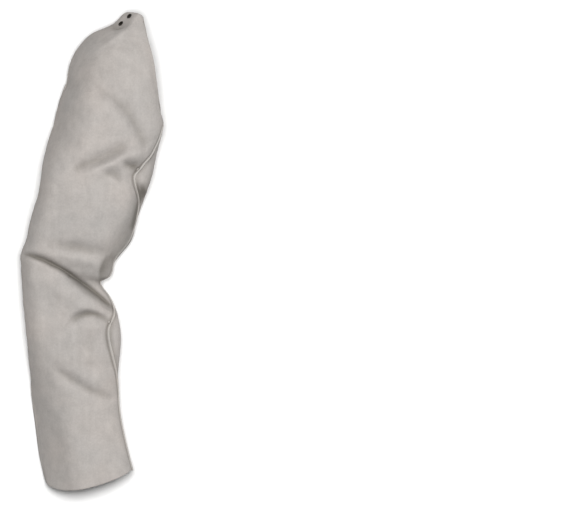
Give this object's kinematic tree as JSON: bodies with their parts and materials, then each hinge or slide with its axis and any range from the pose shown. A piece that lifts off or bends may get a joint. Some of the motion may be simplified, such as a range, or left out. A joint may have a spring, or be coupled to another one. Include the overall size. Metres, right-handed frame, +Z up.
{
  "type": "leather welding sleeve",
  "caption": "Soft split-leather arm sleeve lying flat, bent at the elbow, with a welted underarm seam, raw cuff and a shoulder tip with small tie eyelets.",
  "frame": {"origin": "on the surface that the sleeve lies on, under the middle of its outline", "axes": "+Z up from the surface, +Y from the cuff to the shoulder tip, +X towards the underarm seam"},
  "size_m": [0.1784, 0.5964, 0.0941],
  "materials": {
    "split_leather": "matt napped split cowhide, pearl grey",
    "welt_leather": "matt split leather with a paler cut edge",
    "eyelet_metal": "blackened, satin"
  },
  "bodies": {
    "root": {"sleeve_panel": "split_leather", "seam_welt": "welt_leather", "eyelet_lower": "eyelet_metal", "eyelet_upper": "eyelet_metal"}
  },
  "joints": []
}
